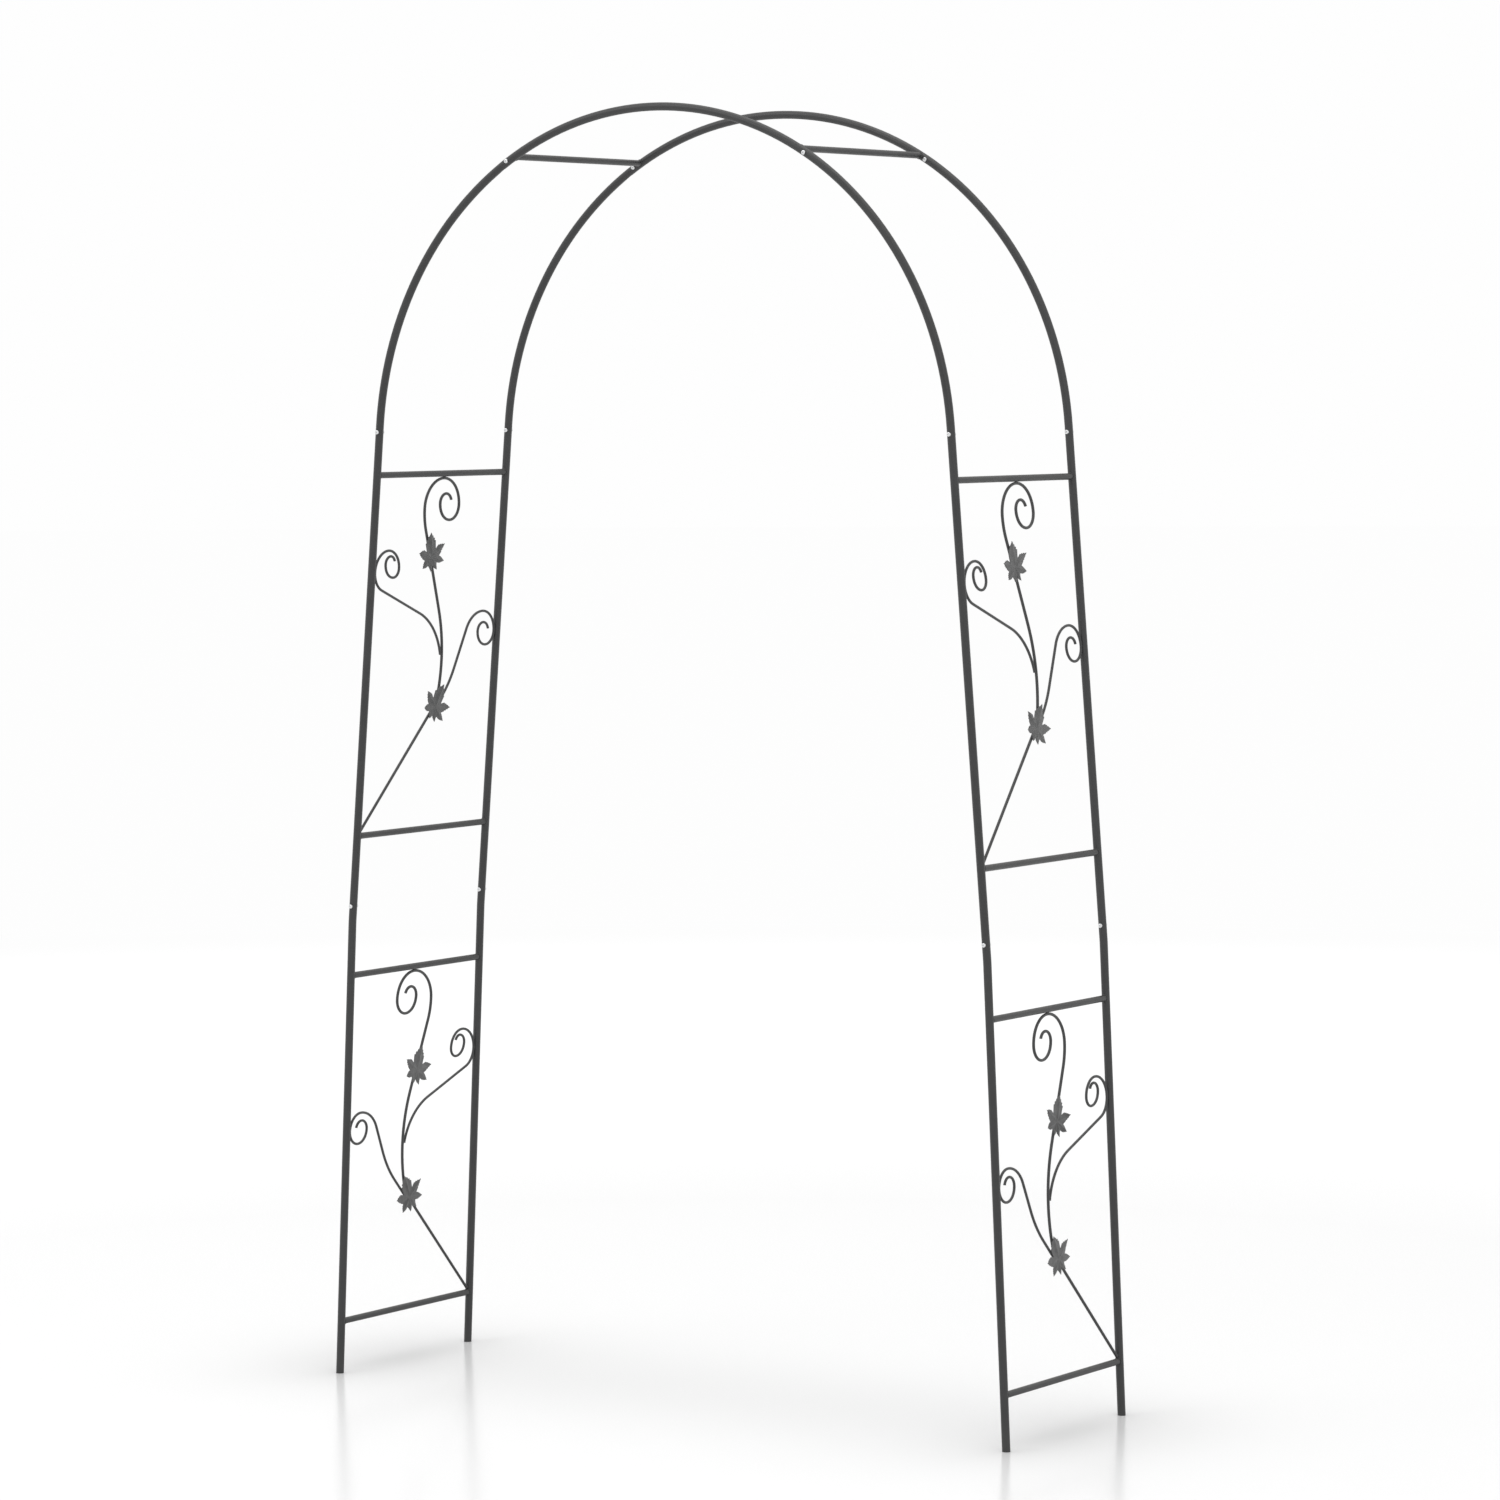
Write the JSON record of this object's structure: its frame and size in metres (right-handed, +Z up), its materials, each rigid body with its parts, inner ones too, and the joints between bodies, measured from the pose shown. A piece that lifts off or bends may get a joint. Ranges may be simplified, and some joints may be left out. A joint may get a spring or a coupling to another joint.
{
  "type": "metal trellis arch",
  "caption": "Free-standing tubular garden arch: twin hoops joined by ladder panels with wire scrolls and stamped leaves, rungs across the crown, and plug-in screwed tube joints.",
  "frame": {"origin": "on the ground, at the middle of the four feet", "axes": "+X across the path from the left leg pair to the right, +Y from the front hoop to the rear hoop, +Z up"},
  "size_m": [1.497, 0.4381, 2.3999],
  "materials": {
    "powder_coat": "satin powder coat, very dark grey",
    "zinc": "bright zinc plate"
  },
  "bodies": {
    "root": {"left_front_lower_leg": "powder_coat", "left_front_upper_leg": "powder_coat", "left_front_side_curve": "powder_coat", "left_rear_lower_leg": "powder_coat", "left_rear_upper_leg": "powder_coat", "left_rear_side_curve": "powder_coat", "left_lower_bottom_rung": "powder_coat", "left_lower_top_rung": "powder_coat", "left_lower_stem": "powder_coat", "left_lower_high_tendril": "powder_coat", "left_lower_low_tendril": "powder_coat", "left_lower_low_leaf": "powder_coat", "left_lower_high_leaf": "powder_coat", "left_upper_bottom_rung": "powder_coat", "left_upper_top_rung": "powder_coat", "left_upper_stem": "powder_coat", "left_upper_high_tendril": "powder_coat", "left_upper_low_tendril": "powder_coat", "left_upper_low_leaf": "powder_coat", "left_upper_high_leaf": "powder_coat", "left_crown_rung": "powder_coat", "right_front_lower_leg": "powder_coat", "right_front_upper_leg": "powder_coat", "right_front_side_curve": "powder_coat", "right_rear_lower_leg": "powder_coat", "right_rear_upper_leg": "powder_coat", "right_rear_side_curve": "powder_coat", "right_lower_bottom_rung": "powder_coat", "right_lower_top_rung": "powder_coat", "right_lower_stem": "powder_coat", "right_lower_high_tendril": "powder_coat", "right_lower_low_tendril": "powder_coat", "right_lower_low_leaf": "powder_coat", "right_lower_high_leaf": "powder_coat", "right_upper_bottom_rung": "powder_coat", "right_upper_top_rung": "powder_coat", "right_upper_stem": "powder_coat", "right_upper_high_tendril": "powder_coat", "right_upper_low_tendril": "powder_coat", "right_upper_low_leaf": "powder_coat", "right_upper_high_leaf": "powder_coat", "right_crown_rung": "powder_coat", "front_crown_tube": "powder_coat", "rear_crown_tube": "powder_coat", "joint_screws": "zinc", "joint_nuts": "zinc"}
  },
  "joints": []
}
